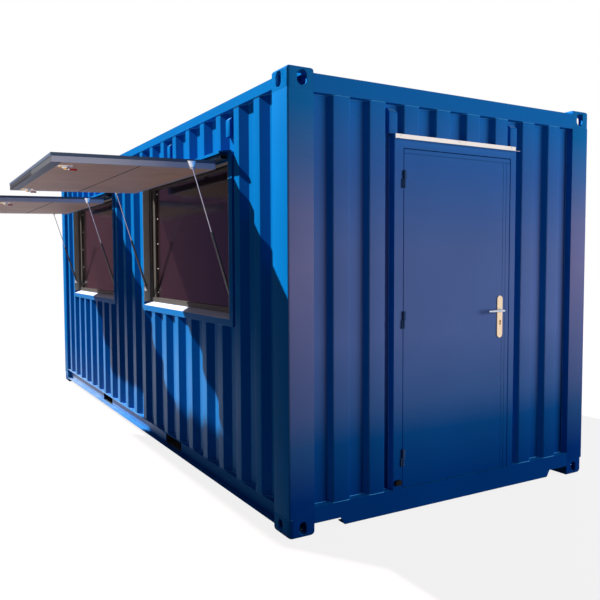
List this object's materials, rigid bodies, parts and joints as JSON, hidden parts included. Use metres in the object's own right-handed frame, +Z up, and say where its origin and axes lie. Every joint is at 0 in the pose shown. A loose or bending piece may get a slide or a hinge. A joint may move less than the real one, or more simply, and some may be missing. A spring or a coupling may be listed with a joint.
{
  "type": "shipping container cabin",
  "caption": "Steel container cabin with corrugated walls, a walk-in end door and two wide side hatches whose flaps are propped open on gas struts.",
  "frame": {"origin": "middle of the bounding box, with the hatch flaps propped open, at the level of the ground it stands on", "axes": "+Y from the door end to the blind end, +X from the hatch side to the blind side, +Z up"},
  "size_m": [3.5008, 6.124, 2.591],
  "materials": {
    "blue_paint": "satin blue paint on steel",
    "grey_blue_paint": "satin grey-blue paint on sheet steel",
    "dark_paint": "dark underbody and fittings paint",
    "aluminium": "mill-finish aluminium profile",
    "zinc_plated_steel": "zinc-plated steel",
    "handle_metal": "pale brass-coloured door furniture",
    "film_faced_plywood": "brown film-faced plywood",
    "floor_plywood": "varnished floor plywood",
    "black_rubber": "black rubber"
  },
  "bodies": {
    "cabin": {"corner_castings_bottom": "blue_paint", "corner_castings_top": "blue_paint", "corner_posts": "blue_paint", "top_side_rails": "blue_paint", "top_end_rails": "blue_paint", "bottom_side_rails": "blue_paint", "bottom_side_rail_flanges": "blue_paint", "bottom_end_rails": "blue_paint", "left_wall_beside_hatches": "blue_paint", "left_wall_below_hatches": "blue_paint", "left_wall_above_hatches": "blue_paint", "right_wall": "blue_paint", "back_wall": "blue_paint", "front_wall_beside_door": "blue_paint", "front_wall_above_door": "blue_paint", "roof_sheet": "blue_paint", "floor_boards": "floor_plywood", "floor_cross_members": "dark_paint", "fork_pockets": "dark_paint", "fork_pocket_roofs": "dark_paint", "fork_pocket_straps": "dark_paint", "wall_vents": "blue_paint", "door_frame": "blue_paint", "door_hinges_fixed": "dark_paint", "door_drip_strip": "aluminium", "door_buffer": "black_rubber", "hatch_frame_jambs": "blue_paint", "hatch_frame_rails": "blue_paint", "hatch_reveal_strips": "aluminium", "hatch_sill_plates": "aluminium", "hatch_sash_seals": "black_rubber", "hatch_sashes": "aluminium", "hatch_panels": "film_faced_plywood", "hatch_canopies": "aluminium", "hatch_hinge_rails": "dark_paint", "hatch_strut_feet": "zinc_plated_steel"},
    "door": {"door_leaf": "blue_paint", "door_hinges_moving": "dark_paint", "door_handle_plates": "handle_metal"},
    "door_lever": {"door_lever": "handle_metal"},
    "hatch_1_flap": {"hatch_1_flap_skin": "grey_blue_paint", "hatch_1_flap_frame": "aluminium", "hatch_1_flap_boards": "film_faced_plywood", "hatch_1_flap_fittings": "zinc_plated_steel"},
    "hatch_1_strut_tubes": {"hatch_1_strut_tubes": "dark_paint"},
    "hatch_1_strut_rods": {"hatch_1_strut_rods": "zinc_plated_steel"},
    "hatch_2_flap": {"hatch_2_flap_skin": "grey_blue_paint", "hatch_2_flap_frame": "aluminium", "hatch_2_flap_boards": "film_faced_plywood", "hatch_2_flap_fittings": "zinc_plated_steel"},
    "hatch_2_strut_tubes": {"hatch_2_strut_tubes": "dark_paint"},
    "hatch_2_strut_rods": {"hatch_2_strut_rods": "zinc_plated_steel"}
  },
  "joints": [
    {"name": "door_swing", "type": "hinge", "parent": "cabin", "child": "door", "pos_m": [0.09588, -3.0055, 1.193], "axis": [0, 0, -1], "range_deg": [0, 110]},
    {"name": "lever_turn", "type": "hinge", "parent": "door", "child": "door_lever", "pos_m": [0.89438, -2.998, 1.22], "axis": [0, -1, 0], "range_deg": [0, 40], "stiffness_Nm_per_rad": 3, "springref_deg": -22.92},
    {"name": "hatch_1_flap_close", "type": "hinge", "parent": "cabin", "child": "hatch_1_flap", "pos_m": [-0.74862, -1.3225, 2.181], "axis": [0, -1, 0], "range_deg": [0, 88.74]},
    {"name": "hatch_1_strut_turn", "type": "hinge", "parent": "cabin", "child": "hatch_1_strut_tubes", "pos_m": [-0.66862, -1.3225, 1.316], "axis": [0, 1, 0], "range_deg": [0, 15.22]},
    {"name": "hatch_1_strut_slide", "type": "slide", "parent": "hatch_1_strut_tubes", "child": "hatch_1_strut_rods", "axis": [0.294, 0, -0.9558], "range_m": [0, 0.1466]},
    {"name": "hatch_2_flap_close", "type": "hinge", "parent": "cabin", "child": "hatch_2_flap", "pos_m": [-0.74862, 1.4675, 2.181], "axis": [0, -1, 0], "range_deg": [0, 88.74]},
    {"name": "hatch_2_strut_turn", "type": "hinge", "parent": "cabin", "child": "hatch_2_strut_tubes", "pos_m": [-0.66862, 1.4675, 1.316], "axis": [0, 1, 0], "range_deg": [0, 15.22]},
    {"name": "hatch_2_strut_slide", "type": "slide", "parent": "hatch_2_strut_tubes", "child": "hatch_2_strut_rods", "axis": [0.294, 0, -0.9558], "range_m": [0, 0.1466]}
  ],
  "couplings": [
    {"joint": "hatch_1_strut_turn", "follows": "hatch_1_flap_close", "ratio": 0.17043},
    {"joint": "hatch_1_strut_slide", "follows": "hatch_1_flap_close", "m_per_rad": 0.094347},
    {"joint": "hatch_2_strut_turn", "follows": "hatch_2_flap_close", "ratio": 0.17043},
    {"joint": "hatch_2_strut_slide", "follows": "hatch_2_flap_close", "m_per_rad": 0.094347}
  ]
}
